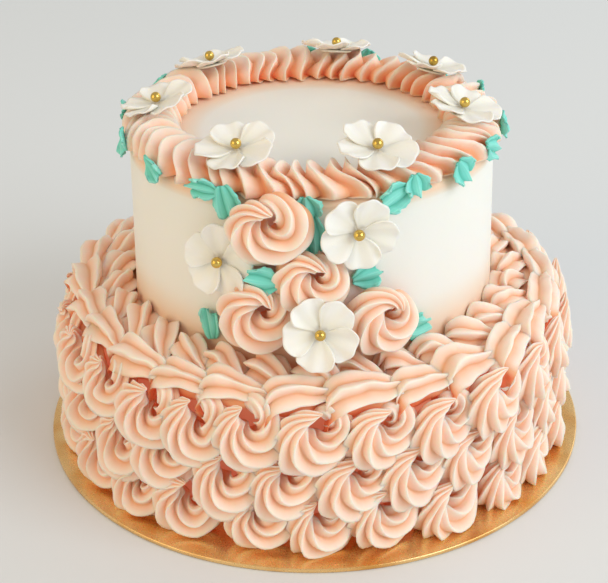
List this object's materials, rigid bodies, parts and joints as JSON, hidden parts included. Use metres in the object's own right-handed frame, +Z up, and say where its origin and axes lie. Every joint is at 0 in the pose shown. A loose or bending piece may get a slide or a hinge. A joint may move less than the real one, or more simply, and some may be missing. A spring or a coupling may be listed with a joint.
{
  "type": "tiered wedding cake",
  "caption": "Two-tier iced cake with piped swirls, a rope border, icing flowers and leaves, on a round gold card board.",
  "frame": {"origin": "centre of the board's underside", "axes": "+Z up through both tiers, -Y towards the front with the falling swirls and flowers"},
  "size_m": [0.254, 0.254, 0.1693],
  "materials": {
    "peach_buttercream": "soft satin buttercream",
    "cream_icing": "smooth satin buttercream",
    "white_petal": "matt piped icing",
    "leaf_icing": "satin piped icing",
    "gold_bead": "shiny gold coating",
    "gold_card": "gold foil on card, slightly brushed"
  },
  "bodies": {
    "root": {"board": "gold_card", "lower_tier": "peach_buttercream", "upper_tier": "cream_icing", "rim_border": "peach_buttercream", "cascade_swirl_1": "peach_buttercream", "cascade_swirl_2": "peach_buttercream", "cascade_swirl_3": "peach_buttercream", "cascade_swirl_4": "peach_buttercream", "flower_1": "white_petal", "flower_2": "white_petal", "flower_3": "white_petal", "flower_4": "white_petal", "flower_5": "white_petal", "flower_6": "white_petal", "flower_7": "white_petal", "flower_8": "white_petal", "flower_9": "white_petal", "flower_10": "white_petal", "bead_1": "gold_bead", "bead_2": "gold_bead", "bead_3": "gold_bead", "bead_4": "gold_bead", "bead_5": "gold_bead", "bead_6": "gold_bead", "bead_7": "gold_bead", "bead_8": "gold_bead", "bead_9": "gold_bead", "bead_10": "gold_bead", "leaf_01": "leaf_icing", "leaf_02": "leaf_icing", "leaf_03": "leaf_icing", "leaf_04": "leaf_icing", "leaf_05": "leaf_icing", "leaf_06": "leaf_icing", "leaf_07": "leaf_icing", "leaf_08": "leaf_icing", "leaf_09": "leaf_icing", "leaf_10": "leaf_icing", "leaf_11": "leaf_icing", "leaf_12": "leaf_icing", "leaf_13": "leaf_icing", "leaf_14": "leaf_icing", "leaf_15": "leaf_icing", "leaf_16": "leaf_icing", "leaf_17": "leaf_icing", "leaf_18": "leaf_icing", "leaf_19": "leaf_icing", "leaf_20": "leaf_icing", "leaf_21": "leaf_icing", "leaf_22": "leaf_icing"}
  },
  "joints": []
}
